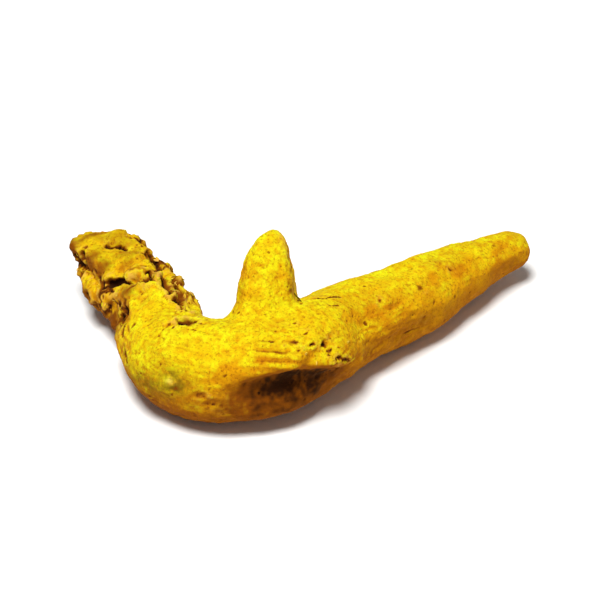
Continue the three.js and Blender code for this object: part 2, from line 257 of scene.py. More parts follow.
def hashed(cells, seed):
    """One even random number from 0 to 1 for each whole-numbered cell."""
    x, y, z = (cells[:, axis].astype(np.int64) * HASH_PRIMES[axis] for axis in range(3))
    value = x ^ y ^ z ^ np.int64(seed * SEED_STEP + SEED_START)
    value = (value ^ (value >> 13)) * HASH_STIR
    value = value ^ (value >> 16)
    return (value & HASH_MASK) / HASH_MASK


def smooth_noise(points, seed):
    """Noise from -1 to 1 with lumps one unit apart."""
    base = np.floor(points)
    share = points - base
    share = share * share * (3 - 2 * share)
    total = np.zeros(len(points))
    for corner in product((0, 1), repeat=3):
        weight = np.prod(np.where(corner, share, 1 - share), axis=1)
        total += weight * hashed(base + corner, seed)
    return 2 * total - 1


def rough(points, size, seed, octaves=4, gain=0.5):
    """Fractal noise about nought, with its largest lumps so many millimetres apart."""
    total = np.zeros(len(points))
    height, whole = 1.0, 0.0
    for octave in range(octaves):
        total += height * smooth_noise(points * (2**octave / size), seed + OCTAVE_STEP * octave)
        whole += height
        height *= gain
    return total / whole


def drift(points, size, seed, octaves=4):
    """A rough step in space for each point."""
    return np.stack([rough(points, size, seed + axis, octaves) for axis in range(3)], axis=1)


def plates(points, size, seed):
    """Cracked plates: each point's distance from its plate's edge, and its plate's own random
    number."""
    scaled = points / size
    base = np.floor(scaled)
    first = np.full(len(points), np.inf)
    second = first.copy()
    own = np.zeros(len(points))
    for offset in product((-1, 0, 1), repeat=3):
        cell = base + offset
        middle = cell + np.stack([hashed(cell, seed + axis) for axis in range(3)], axis=1)
        away = np.linalg.norm(scaled - middle, axis=1)
        nearer = away < first
        second = np.where(nearer, first, np.minimum(second, away))
        own = np.where(nearer, hashed(cell, seed + 3), own)
        first = np.minimum(first, away)
    return (second - first) * size, own


def ramp(values, low, high):
    """Nought below low, one above high, and a smooth rise between; low may be the larger."""
    share = np.clip((values - low) / (high - low), 0, 1)
    return share * share * (3 - 2 * share)


def bell(values):
    """One at nought, and a soft fall to nought on both sides."""
    return np.exp(-values * values)


# ---- places on the limbs ----

BATCH = 8192  # points that are located at a time


def spline(knots, steps=24):
    """Points along a smooth curve through the knots, a centripetal Catmull-Rom spline."""
    knots = np.vstack([2 * knots[0] - knots[1], knots, 2 * knots[-1] - knots[-2]])
    share = np.linspace(0, 1, steps, endpoint=False)[:, None]
    pieces = []
    for a, b, c, d in zip(knots, knots[1:], knots[2:], knots[3:]):
        gaps = [math.sqrt(np.linalg.norm(q[:3] - p[:3])) for p, q in ((a, b), (b, c), (c, d))]
        leave = (b - a) / gaps[0] - (c - a) / (gaps[0] + gaps[1]) + (c - b) / gaps[1]
        arrive = (c - b) / gaps[1] - (d - b) / (gaps[1] + gaps[2]) + (d - c) / gaps[2]
        leave, arrive = leave * gaps[1], arrive * gaps[1]
        cubic = 2 * b - 2 * c + leave + arrive
        square = -3 * b + 3 * c - 2 * leave - arrive
        pieces.append(b + share * (leave + share * (square + share * cubic)))
    return np.vstack(pieces + [knots[-2:-1]])


def dots(first, second):
    """The dot product of each pair of rows."""
    return np.einsum("ij,ij->i", first, second)


class Places(NamedTuple):
    """Each point's place along a limb, its turn in radians, its nearness (1 on the limb's plain
    surface), the radius there and the direction of the axis."""

    along: np.ndarray
    turn: np.ndarray
    near: np.ndarray
    radius: np.ndarray
    ahead: np.ndarray

    def offsets(self, along, turn):
        """Millimetres along and round the limb from one place on it."""
        across = self.turn - math.radians(turn)
        return self.along - along, np.arctan2(np.sin(across), np.cos(across)) * self.radius

    def within(self, patch):
        """How far each point lies in a soft patch, one in its middle."""
        forward, across = self.offsets(patch.along, patch.turn)
        return bell(forward / patch.long) * bell(across / patch.wide)

    def elsewhere(self):
        """Nought on this limb and near it, and 4 on another limb, to keep this one's marks off it."""
        return 4 * ramp(self.near, *OTHER_LIMB)


class Limb:
    """One limb's axis, and the place on it of any point."""

    BEYOND = 5.0  # millimetres that the axis is drawn out at each end

    def __init__(self, knots, level):
        line = spline(np.array(knots) + (*KNUCKLE, 0.0))
        out = np.linspace(0, 1, 20)[:, None]
        first = line[0] - self.BEYOND * self.way(line[1] - line[0])
        last = line[-1] + self.BEYOND * self.way(line[-1] - line[-2])
        lead = first + (line[0] - first) * out[:-1]
        line = np.vstack([lead, line, line[-1] + (last - line[-1]) * out[1:]])
        self.points, self.radius = line[:, :3], line[:, 3]
        steps = np.linalg.norm(np.diff(self.points, axis=0), axis=1)
        self.along = np.concatenate([[0], np.cumsum(steps)]) - self.BEYOND
        ahead = np.gradient(self.points, axis=0)
        self.ahead = ahead / np.linalg.norm(ahead, axis=1)[:, None]
        right = np.cross(self.ahead, level)
        self.right = right / np.linalg.norm(right, axis=1)[:, None]
        self.up = np.cross(self.right, self.ahead)

    @staticmethod
    def way(step):
        """The step as a unit step in space, with the radius left as it is."""
        return np.append(step[:3] / np.linalg.norm(step[:3]), 0.0)

    def locate(self, points):
        """The points' places along this limb."""
        nearest = np.empty(len(points), int)
        for start in range(0, len(points), BATCH):
            gap = points[start : start + BATCH, None] - self.points[None]
            nearest[start : start + BATCH] = np.argmin(np.einsum("ijk,ijk->ij", gap, gap), axis=1)
        gap = points - self.points[nearest]
        ahead = self.ahead[nearest]
        forward = dots(gap, ahead)
        side = gap - forward[:, None] * ahead
        turn = np.arctan2(dots(side, self.right[nearest]), dots(side, self.up[nearest]))
        radius = self.radius[nearest]
        near = np.linalg.norm(side, axis=1) / radius
        return Places(self.along[nearest] + forward, turn, near, radius, ahead)


class Root(NamedTuple):
    """Each point's places on the three limbs, and how much of it belongs to stub and shoot."""

    finger: Places
    stub: Places
    shoot: Places
    stubby: np.ndarray
    shooting: np.ndarray


# ---- relief ----


class Relief:
    """Heights in millimetres over the plain form, how dark each point is painted, for crack colour and for
    painted shade in cracks, troughs, pits and hollows, and how torn each point is."""

    def __init__(self, points, ends):
        self.points = points
        self.ends = ends
        self.steps = np.linalg.norm(points[ends[:, 0]] - points[ends[:, 1]], axis=1)
        self.height = np.zeros(len(points))
        self.crevice_and_shade = np.zeros(len(points))
        self.torn = np.zeros(len(points))
        self.ragged = [0.42 * self.rough(1.3, seed, gain=0.6) for seed in (5, 6)]
        self.patchy = self.rough(1.3, 7, 2)
        self.narrowing = 1 + 0.6 * self.rough(2.0, 8, 2) + 0.7 * self.rough(0.8, 9, 2)

    def rough(self, size, seed, octaves=4, gain=0.5):
        """Fractal noise at these points, before they are carved."""
        return rough(self.points, size, seed, octaves, gain)

    def darken(self, crevice_and_shade):
        """Makes each point at least so dark, with crack colour and painted shade."""
        self.crevice_and_shade = np.maximum(self.crevice_and_shade, crevice_and_shade)

    def tear(self, torn):
        """Makes each point at least so torn."""
        self.torn = np.maximum(self.torn, torn)

    def ripple(self, patch, wave, height, dark):
        """Lays ripples over a patch, with painted shade in their troughs."""
        self.height += height * patch * wave
        self.darken(dark * patch * ramp(wave, -0.4, -0.95))

    def inside(self, field):
        """How many millimetres each point lies inside the part where the field is above nought."""
        slopes = np.abs(field[self.ends[:, 0]] - field[self.ends[:, 1]]) / self.steps
        total = sum(np.bincount(self.ends[:, side], slopes, len(field)) for side in (0, 1))
        count = np.bincount(self.ends.ravel(), minlength=len(field))
        return field / (1.5 * total / count + 0.02)

    def peel(self, share, size, seed, level, drop):
        """Lays one ragged layer of torn skin over part of the surface, with its edges lifted."""
        crumpled = self.points + 0.3 * size * drift(self.points, 0.7 * size, seed + 1, 3)
        away = self.inside(rough(crumpled, size, seed, gain=0.42) - level)
        edge = share * ramp(self.patchy, -0.55, 0.1)
        lifted = edge * 0.35 * drop * bell((away - 0.45) / 0.3)
        self.height += share * drop * (ramp(away, -0.12, 0.25) - 0.5) + lifted
        shadow = edge * min(1, 0.5 + drop)
        self.darken(shadow * bell((away + 0.1 + 0.4 * drop) / (0.12 + 0.5 * drop)))
        self.tear(edge * 0.7 * bell((away - 0.3) / 0.25))

    def cut(self, places, fissure):
        """Cuts one fissure, with a ragged edge and torn lips."""
        away = np.full(len(self.points), np.inf)
        for start, end in zip(fissure.run, fissure.run[1:]):
            forward, across = places.offsets(*start)
            forward, across = forward + self.ragged[0], across + self.ragged[1]
            run = end[0] - start[0]
            width = math.radians(end[1] - start[1]) * places.radius
            share = np.clip((forward * run + across * width) / (run * run + width * width), 0, 1)
            away = np.minimum(away, np.hypot(forward - share * run, across - share * width))
        away = away / (fissure.half * self.narrowing) + places.elsewhere()
        lip = bell((away - 1.9) / 0.7) * (0.65 + 0.6 * self.patchy)
        self.height += fissure.lip * lip - fissure.depth * (1 - ramp(away, 0.35, 1.25))
        # dark crack colour with painted shade, darker the deeper the crack
        self.darken(min(1, 0.2 + 1.4 * fissure.depth) * (1 - ramp(away, 0.3, 1.15)))
        self.tear(fissure.lip / 0.4 * np.clip(lip, 0, 1))

    def pit(self, places, scar):
        """Sinks one rootlet scar, an uneven pit with a broken rim."""
        forward, across = places.offsets(scar.along, scar.turn)
        away = np.hypot(forward + 1.1 * self.ragged[0], across + 1.1 * self.ragged[1])
        away = away / scar.radius * self.narrowing + places.elsewhere()
        broken = ramp(self.patchy, -0.4, 0.3)
        rim = bell((away - 1.4) / 0.45)
        self.height += scar.rim * broken * rim - scar.pit * bell(away / 0.8)
        # painted shade in the pit
        self.darken(min(0.75, 0.25 + 1.2 * scar.pit) * bell(away / 0.65))
        self.tear(0.25 * broken * rim)


def crust(relief, share, ragged, inner):
    """The stub's crust: soft folds, with two layers of torn skin on its ragged flanks and one more
    on its inner side."""
    folded = relief.points + 0.9 * drift(relief.points, 3.0, 11)
    folds = 1 - np.abs(rough(folded, 3.6, 14, 3)) * 2.4
    relief.height += share * (0.3 * folds - 0.18 + 0.07 * relief.rough(1.0, 20, 3))
    # painted shade in the troughs of the folds
    relief.darken(share * 0.4 * ramp(folds, -0.1, -0.7))
    relief.peel(share * ragged, 5.5, 100, 0.0, 0.4)
    relief.peel(share * ragged, 3.4, 110, 0.04, 0.3)
    relief.peel(share * inner, 2.8, 130, 0.05, 0.55)


def fine_wrinkles(relief, places, share):
    """Thin wrinkles along a limb, from drying, in patches, and finer creases among them."""
    long, wide = 5.5, 0.95
    round_it = [turned(places.turn) * places.radius / wide for turned in (np.cos, np.sin)]
    drawn = np.stack([places.along / long, *round_it], axis=1)
    drawn += 0.35 * drift(relief.points, 3.0, 21, 2)
    ridges = 1 - 2 * np.abs(rough(drawn, 1.0, 24, 3))
    patch = ramp(relief.rough(7.0, 25, 2), -0.35, 0.3)
    relief.height += share * patch * 0.17 * ridges
    # painted shade in the wrinkles' troughs
    relief.darken(share * patch * 0.16 * ramp(ridges, 0.2, -0.3))
    creases = 1 - 2.4 * np.abs(rough(drawn * (0.7, 0.8, 0.8) + 9.0, 1.0, 27, 3))
    patch = share * ramp(relief.rough(5.0, 28, 2), 0.1, 0.5)
    relief.height += 0.1 * patch * np.minimum(creases, 0.4)
    # painted shade in the creases
    relief.darken(0.22 * patch * ramp(creases, -0.3, -1.0))


def shrinkage(relief, places, share):
    """A net of hair-thin creases in patches, drawn out along the limb, and a faint unevenness all
    over."""
    points = relief.points
    pulled = points - 0.5 * dots(points, places.ahead)[:, None] * places.ahead
    pulled += 0.8 * drift(points, 2.0, 34, 2)
    for size, seed, patches, depth in ((2.2, 81, 5.0, 0.07), (1.5, 85, 3.5, 0.06)):
        line = np.abs(rough(pulled, size, seed, 3))
        patch = share * ramp(rough(points, patches, seed + 1, 3), 0.0, 0.35)
        relief.height -= depth * patch * ramp(line, 0.1, 0.0)
        # painted shade along the creases
        relief.darken(0.13 * patch * ramp(line, 0.09, 0.0))
    relief.height += share * (0.14 * relief.rough(1.2, 91, 3) + 0.16 * relief.rough(2.8, 92, 2))


def ring_lines(relief, places, share):
    """Fine rings round the knuckle, as old leaf scars leave."""
    spacing = 1.1
    wave = np.sin(2 * math.pi * places.along / spacing + 4.5 * relief.rough(2.6, 31, 3))
    forward, across = places.offsets(*RINGS)
    patch = share * bell(forward / 3.2) * bell(across / 4.5) * ramp(relief.patchy, -0.5, 0.2)
    relief.ripple(patch, wave, 0.07, 0.2)


def level_ripples(relief, places):
    """Small level ripples on the belly's shoulder."""
    spacing = 1.3
    rise = relief.points @ (0.0, 0.6, 0.8)
    wave = np.sin(2 * math.pi * rise / spacing + 3.0 * relief.rough(2.4, 33, 3))
    patch = places.within(BELLY_SHOULDER) * ramp(relief.patchy, -0.7, 0.0)
    relief.ripple(patch, wave, 0.17, 0.3)


def undercut(relief, places):
    """The hollow under the belly's far end: a sharp ledge over a shrunken and puckered side, painted
    dark: brown skin with the ledge's painted shadow."""
    edge = 64 + 9 * ((places.along - 25.2) / 5) ** 2
    across = (places.turn - np.radians(edge)) * places.radius + 0.5 * relief.ragged[0]
    reach = bell((places.along - 26.0) / 5.2)
    fall = ramp(across, -0.3, 1.0) * ramp(across, 7.5, 2.2)
    puckers = relief.rough(1.5, 93, 3)
    ledge = 0.25 * bell((across + 0.6) / 0.7)
    relief.height += reach * (ledge - (0.75 + 0.45 * puckers) * fall)
    # painted shadow under the ledge, over brown skin; darkest in the core
    stain_and_shade = bell((places.along - 24.5) / 7.0) * ramp(across, -0.1, 1.6) * ramp(across, 12.0, 5.0)
    core = ramp(across, 0.0, 1.6) * ramp(across, 10.0, 1.8) * bell((places.along - 28.0) / 4.6)
    grain = 1.0 + 0.2 * relief.patchy - 0.5 * puckers + 0.45 * relief.rough(0.7, 94, 2)
    relief.darken((0.5 * stain_and_shade + 0.5 * core) * grain)


def pinholes(relief):
    """Pinholes and grit all over the rind."""
    edge, own = plates(relief.points + 0.3 * relief.patchy[:, None], 1.15, 41)
    hole = ramp(edge, 0.72 - 0.2 * own, 1.0 - 0.2 * own) * ramp(own, 0.6, 0.7)
    relief.height -= 0.1 * hole
    # painted shade in the pinholes
    relief.darken(0.32 * hole)


def bud_eye(relief, places):
    """The eye on the knuckle, a knob in a sunken ring; gives how olive and how pale it is."""
    forward, across = places.offsets(*BUD)
    away = np.hypot(forward + 0.8 * relief.ragged[0], across + 0.8 * relief.ragged[1])
    sunken = bell((away - 1.0) / 0.4) * ramp(forward - 0.3 * across, -0.9, 0.5)
    sunken = sunken * (0.7 + 0.8 * relief.patchy)
    relief.height += 0.08 * bell(away / 0.35) - 0.16 * sunken
    # painted shade in the sunken ring
    relief.darken(0.35 * sunken)
    # the olive also paints shade below the eye, in BUD_SHADE
    olive = 0.6 * bell(away / 2.0) + 0.9 * sunken + 0.7 * places.within(BUD_SHADE)
    pale = bell(away / 0.36)
    return np.clip(olive, 0, 1) * (1 - pale), 0.8 * pale


def broken_face(relief, places):
    """The stub's broken end, fibres and a shrunken heart inside a raised rind; gives how bare its
    flesh is."""
    face = ramp(places.along, *BROKEN_FACE)
    heart = np.clip(1 - places.near, 0, 1)
    fibres = relief.rough(0.8, 45, 2)
    relief.height += face * (0.3 * fibres - 0.9 * ramp(heart, 0.1, 0.5))
    relief.darken(face * (0.35 + 0.35 * fibres) * ramp(heart, 0.05, 0.3))
    return np.clip(face * ramp(heart, 0.02, 0.2), 0, 1)


def outer_flank(root):
    """How far round a point lies on the stub's outer flank."""
    return ramp(np.degrees(root.stub.turn), *OUTER_FLANK)


def carve(relief, root):
    """Carves everything, and gives the marks of the bud and of the broken end."""
    fingered = (1 - root.stubby) * (1 - root.shooting)
    flanks = np.maximum(outer_flank(root), ramp(np.degrees(root.stub.turn), *INNER_FLANK))
    ragged = np.clip(flanks + root.stub.within(STUB_SHOULDER) + 0.12, 0, 1)
    crust(relief, root.stubby, ragged, root.stub.within(STUB_INSIDE))
    wrinkled = 1 - 0.7 * ramp(root.finger.along, *SMOOTH_TIP)
    fine_wrinkles(relief, root.finger, fingered * wrinkled)
    fine_wrinkles(relief, root.shoot, root.shooting)
    shrinkage(relief, root.finger, fingered)
    shrinkage(relief, root.shoot, root.shooting)
    ring_lines(relief, root.finger, 1 - 0.5 * root.stubby)
    level_ripples(relief, root.finger)
    undercut(relief, root.finger)
    pinholes(relief)
    green, pale = bud_eye(relief, root.finger)
    flesh = broken_face(relief, root.stub)
    for places, fissures in ((root.stub, STUB_FISSURES), (root.finger, FINGER_FISSURES)):
        for fissure in fissures:
            relief.cut(places, fissure)
    for scar in SCARS:
        relief.pit(root.finger, scar)
    relief.height += 0.1 * relief.rough(4.5, 51, 2)
    return {"green": green, "pale": pale, "flesh": flesh}


# ---- what the relief does to the colours ----


class Surface(NamedTuple):
    """The carved surface: its points in millimetres, how far each faces up, how hollow it is close
    by and more widely, and a mottle."""

    points: np.ndarray
    upward: np.ndarray
    hollow: np.ndarray
    basin: np.ndarray
    mottle: np.ndarray


def surface_of(mesh, points, ends):
    """Reads the carved surface; few rounds of relaxing find close hollows, and many find wide
    ones."""
    facing = normals(mesh)
    hollow, basin = (dots(relaxed(points, ends, rounds) - points, facing) for rounds in (6, 40))
    return Surface(points, facing[:, 2], hollow, basin, rough(points, 1.8, 61, 3))


def powder_and_painted_shading(surface, root, crevice_and_shade):
    """How thick the powder lies, as painted light on the upper sides, and the orange-brown painted shade
    below.
    """
    finger = root.finger
    fingered = 1 - root.shooting
    # more powder along the finger's top ridge, partly painted light
    ridge = ramp(np.cos(finger.turn + 0.3), 0.85, 1.0)
    far = ramp(finger.along, *FAR_FINGER) * fingered * (1 - 0.9 * ridge)
    thick = finger.within(CHEEK) + 0.9 * ridge * ramp(finger.along, *RIDGE_POWDER) * fingered
    thin = finger.within(BELLY_TOP) + 0.6 * root.stubby + 0.1 * root.shooting
    # facing up adds powder as painted light; close hollows lose it as painted shade
    settled = surface.upward + 0.7 * surface.mottle - 5.0 * surface.hollow
    settled = settled - 0.35 * far + 0.4 * thick - 0.4 * thin
    powder = ramp(settled, 0.0, 0.8) * (1 - crevice_and_shade) * (1 - 0.3 * far)
    powder *= 1 - 0.3 * root.stubby * ramp(root.stub.along, *NECK_LESS_POWDER)
    # painted shade: orange-brown on the sides that face down
    bark_and_shade = ramp(surface.upward + 0.35 * surface.mottle - 0.15 * far, 0.45, -0.4)
    # less of that painted shade on the tip's flank
    bark_and_shade *= 1 - 0.7 * finger.within(TIP_LIT_SIDE)
    return powder, bark_and_shade


def dirt_stains_and_shade(surface, root, crevice_and_shade):
    """The crevices with the stub's dirt, the stains, and painted shade on the finger's lower sides."""
    dirt = root.stubby * ramp(rough(surface.points, 2.4, 95), -0.15, 0.35)
    dirt = np.maximum(dirt, 0.8 * root.stubby * ramp(root.stub.along, *DIRTY_RIM))
    crevice_and_shade = np.maximum(crevice_and_shade, (0.22 + 0.26 * outer_flank(root)) * dirt)
    crevice_and_shade *= 1 - 0.45 * root.stub.within(STUB_LESS_DARK)
    limbs = (root.stub, STUB_STAINS), (root.finger, FINGER_STAINS), (root.shoot, SHOOT_STAINS)
    for places, stains in limbs:
        for stain_and_shade in stains:
            brown = stain_and_shade.dark * (0.9 + 0.6 * surface.mottle) * places.within(stain_and_shade)
            crevice_and_shade = np.maximum(crevice_and_shade, brown)
    # painted shade: brown on the finger's sides that face down
    sides = ramp(surface.upward, 0.05, -0.6) * ramp(root.finger.along, *SHADED_LOWER_SIDES)
    return np.maximum(crevice_and_shade, (0.32 + 0.2 * surface.mottle) * sides)


def coat_shares(surface, relief, root):
    """How much each coat shows: crevices, powder with painted light, painted shade and torn skin."""
    # painted shade in close hollows and wide basins
    painted_recess_shade = ramp(surface.hollow, 0.03, 0.12) * 0.6 + 0.3 * ramp(surface.basin, 0.1, 0.4)
    crevice_and_shade = np.clip(relief.crevice_and_shade + painted_recess_shade, 0, 1)
    powder, bark_and_shade = powder_and_painted_shading(surface, root, crevice_and_shade)
    strip = root.shooting * bell(root.shoot.offsets(*PALE_EDGE)[1] / 0.9)
    strip = strip * ramp(root.shoot.along, *EDGE_START)
    return {
        "crevice_and_shade": dirt_stains_and_shade(surface, root, crevice_and_shade),
        "dust_and_painted_light": powder,
        "under": bark_and_shade,
        "torn": np.clip(relief.torn + 0.8 * strip, 0, 1),
    }


def growth_shares(surface, relief, root, coats):
    """Where flakes fringe the torn skin, where rootlets stand and where crumbs lie, clear of the
    floor."""
    points = surface.points
    clear = ramp(points[:, 2], 1.2, 2.0)
    cluster = root.finger.within(PIT_CLUSTER)
    fringe = clear * ramp(relief.torn, 0.3, 0.8) * np.maximum(root.stubby, cluster)
    beneath = ramp(surface.upward, 0.2, -0.4) * ramp(rough(points, 6.0, 71, 2), 0.1, 0.4)
    rooting = clear * (1 - root.stubby) * np.clip(0.4 * cluster + 0.03 * beneath, 0, 1)
    crumbly = clear * ramp(rough(points, 3.0, 72, 3), -0.1, 0.5) * coats["dust_and_painted_light"]
    crumbly = crumbly * ramp(coats["crevice_and_shade"], 0.25, 0.05)
    return {"fringe": fringe, "rooting": rooting, "crumbly": crumbly}


# ---- meshes ----


def link(obj):
    bpy.context.scene.collection.objects.link(obj)
    return obj


def coordinates(mesh):
    flat = np.empty(len(mesh.vertices) * 3)
    mesh.vertices.foreach_get("co", flat)
    return flat.reshape(-1, 3)


def normals(mesh):
    flat = np.empty(len(mesh.vertices) * 3)
    mesh.vertex_normals.foreach_get("vector", flat)
    return flat.reshape(-1, 3)


def edge_ends(mesh):
    flat = np.empty(len(mesh.edges) * 2, int)
    mesh.edges.foreach_get("vertices", flat)
    return flat.reshape(-1, 2)


def place(mesh, points):
    """Moves the mesh's vertices to points given in millimetres."""
    mesh.vertices.foreach_set("co", (points * MM).astype(np.float32).ravel())
    mesh.update()


def relaxed(points, ends, rounds, share=0.5):
    """The points after rounds of moving each one towards the middle of its neighbours."""
    count = np.bincount(ends.ravel(), minlength=len(points))[:, None]
    share = np.broadcast_to(share, len(points))[:, None]
    for _ in range(rounds):
        around = np.stack(
            [
                np.bincount(ends[:, 0], points[ends[:, 1], axis], len(points))
                + np.bincount(ends[:, 1], points[ends[:, 0], axis], len(points))
                for axis in range(3)
            ],
            axis=1,
        )
        points = points + share * (around / count - points)
    return points


def keep(mesh, name, values):
    """Stores one number for each vertex."""
    stored = mesh.attributes.new(name, "FLOAT", "POINT")
    stored.data.foreach_set("value", values.astype(np.float32))


def baked(obj):
    """The object with its modifiers made into plain mesh."""
    graph = bpy.context.evaluated_depsgraph_get()
    mesh = bpy.data.meshes.new_from_object(obj.evaluated_get(graph))
    obj.modifiers.clear()
    obj.data = mesh
    return obj


def finished(obj, material):
    """Gives a piece its one material and smooth faces, and sets it on the root."""
    obj.data.materials.clear()
    obj.data.materials.append(material)
    obj.data.polygons.foreach_set("use_smooth", [True] * len(obj.data.polygons))
    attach(obj, BODY)


def voxel_body(name, voxel):
    """A closed, evenly meshed copy of the solid root."""
    mesh = bpy.data.meshes.new(name)
    merged = bmesh.new()
    merged.from_mesh(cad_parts[NODE].data)
    bmesh.ops.remove_doubles(merged, verts=merged.verts, dist=0.002 * MM)
    merged.to_mesh(mesh)
    merged.free()
    obj = link(bpy.data.objects.new(name, mesh))
    voxels = obj.modifiers.new("Voxels", "REMESH")
    voxels.mode = "VOXEL"
    voxels.voxel_size = voxel
    return baked(obj)


def plain_form(mesh, ends, smoothing, blending):
    """The body's points with its facets taken off and the shoot blended into the finger, and their
    places on the limbs."""
    limbs = Limb(FINGER_AXIS, UP), Limb(STUB_AXIS, UP), Limb(SHOOT_AXIS, SHOOT_LEVEL)
    points = relaxed(coordinates(mesh) * METRES_TO_MM, ends, smoothing)
    finger, _, shoot = (limb.locate(points) for limb in limbs)
    seam = bell((shoot.near - 1.1) / 0.3) * bell((finger.near - 1.1) / 0.3)
    seam = seam * ramp(shoot.along, *SHOOT_SEAM)
    points = relaxed(points, ends, blending, 0.5 * seam)
    finger, stub, shoot = (limb.locate(points) for limb in limbs)
    stubby = ramp(stub.along, *STUB_JOIN) * ramp(stub.near, *STUB_REACH)
    shooting = ramp(shoot.along, *SHOOT_JOIN) * ramp(shoot.near, *SHOOT_REACH)
    return points, Root(finger, stub, shoot, stubby, shooting)


# ---- node trees ----

RANGE_INPUTS = ("Value", "From Min", "From Max", "To Min", "To Max")
MIX_INPUTS = (0, 6, 7)  # a Mix node's factor and its two colours
MIX_COLOUR = 2  # its output


def fill(tree, node, inputs):
    """Fills or links a node's inputs, given by name or number."""
    for key, value in dict(inputs).items():
        if isinstance(value, bpy.types.NodeSocket):
            tree.links.new(value, node.inputs[key])
        else:
            node.inputs[key].default_value = value
    return node


def add(tree, kind, inputs=(), **settings):
    """Adds a node with its settings and inputs."""
    made = tree.nodes.new(kind)
    for name, value in settings.items():
        setattr(made, name, value)
    return fill(tree, made, inputs)


def linear(colour):
    """An sRGB hex colour, such as #E0AC12, as linear red, green, blue and alpha."""
    parts = (int(colour[i : i + 2], 16) / 255 for i in (1, 3, 5))
    return tuple(p / 12.92 if p <= 0.04045 else ((p + 0.055) / 1.055) ** 2.4 for p in parts) + (1.0,)


def per_mm(size):
    """The scale at which a texture repeats every so many millimetres."""
    return METRES_TO_MM / size


class Patches(NamedTuple):
    """Patches of noise: their size in millimetres, the noise between which they fade in, how strong
    they are outside and inside, and the noise's detail and roughness."""

    size: float
    low: float
    high: float
    outside: float = 0.0
    inside: float = 1.0
    detail: float = 3.0
    roughness: float = 0.55


class Coat(NamedTuple):
    """A coat of colour: its colour, the attribute that spreads it and its range (lowest and highest
    value, and how thick the coat is there), the patches that it lies in, its strength, and a second
    colour in patches of its own."""

    colour: str
    spread: str = ""
    ranged: tuple = ()
    patches: Patches | None = None
    strength: float = 1.0
    second: tuple = ()


class Grain(NamedTuple):
    """Bumps in the surface: their size and height in millimetres, strength, detail and
    roughness."""

    size: float
    height: float
    strength: float
    detail: float
    roughness: float


THIN_WHERE_DUSTY = (0.2, 1.0, 1.0, 0.8)  # ranges the powder's attribute
THIN_POWDER = Patches(1.1, 0.3, 0.6, 0.35, detail=4.0)
THICK_POWDER = Patches(3.5, 0.3, 0.7, detail=4.0)
FINE_MOTTLE = Patches(0.42, 0.5, 0.7, detail=2.0, roughness=0.7)
GROUND_COATS = (
    Coat("ochre", patches=Patches(5.0, 0.35, 0.65)),
    # painted shade: orange-brown spread over the sides that face down
    Coat("bark_and_shade", "under", patches=Patches(2.5, 0.3, 0.6, 0.6, detail=4.0)),
    # powder, thickest on upward faces as painted light
    Coat("lemon", "dust_and_painted_light", patches=THIN_POWDER, second=("powder", THICK_POWDER)),
    Coat("amber", patches=Patches(2.2, 0.5, 0.7, detail=4.0, roughness=0.6), strength=0.4),
    Coat("amber", "dust_and_painted_light", THIN_WHERE_DUSTY, Patches(0.8, 0.47, 0.66, roughness=0.7), 0.6),
    Coat("bark_and_shade", "dust_and_painted_light", THIN_WHERE_DUSTY, FINE_MOTTLE, 0.7),
)
SPECK_CELL = 0.9  # millimetres, one speck at most in each
SPECK_SIZES = (0.45, 1.0, -0.06, 0.26)  # in cells; those below nought are no specks
SPECK_EDGE = (0.0, 0.14)
SPECK_PATCHES = Patches(1.7, 0.4, 0.56, detail=2.0)
SPECK_STRENGTH = 0.75
# marks of the bud, torn skin and broken flesh, then the crevice colours: crack colour, dirt and stains, and
# painted shade
MARKS_AND_SHADE_COATS = (
    Coat("flesh", "flesh"),
    Coat("green", "green", patches=Patches(0.9, 0.3, 0.6, 0.4, 0.95)),
    Coat("pale", "pale", strength=0.6),
    Coat("torn", "torn", patches=Patches(0.8, 0.35, 0.6)),
    # rust-brown and dark brown spread by crack colour, dirt, stains and painted shade in hollows, troughs
    # and on the lower sides
    Coat("rust", "crevice_and_shade", (0.05, 0.45, 0.0, 1.0)),
    Coat("crevice_and_shade", "crevice_and_shade", (0.4, 0.95, 0.0, 1.0)),
)
RIND_GRAINS = (Grain(0.35, 0.14, 0.8, 4.0, 0.65), Grain(0.85, 0.3, 0.9, 3.0, 0.55))
RIND_ROUGHNESS = Patches(0.7, 0.3, 0.7, 0.82, 0.95)
SKIN_COATS = (Coat("lemon", patches=Patches(1.5, 0.35, 0.65, roughness=0.5)),)
CRUMB_COATS = (Coat("powder", patches=Patches(0.6, 0.4, 0.6, detail=2.0, roughness=0.5)),)


def started(name):
    """A new material with its node tree, its shader and the Object coordinates that it reads."""
    material = bpy.data.materials.new(name)
    material.use_nodes = True
    tree = material.node_tree
    spot = add(tree, "ShaderNodeTexCoord").outputs["Object"]
    return material, tree, tree.nodes["Principled BSDF"], spot


def patch_mask(tree, spot, patches):
    """How strong the patches are at each spot."""
    look = {"Vector": spot, "Scale": per_mm(patches.size), "Detail": patches.detail}
    look["Roughness"] = patches.roughness
    noise = add(tree, "ShaderNodeTexNoise", look).outputs[0]
    fade = zip(RANGE_INPUTS, (noise, patches.low, patches.high, patches.outside, patches.inside))
    return add(tree, "ShaderNodeMapRange", fade, interpolation_type="SMOOTHSTEP").outputs[0]


def multiplied(tree, shares):
    """The product of several shares."""
    whole = shares[0]
    for share in shares[1:]:
        whole = add(tree, "ShaderNodeMath", {0: whole, 1: share}, operation="MULTIPLY").outputs[0]
    return whole


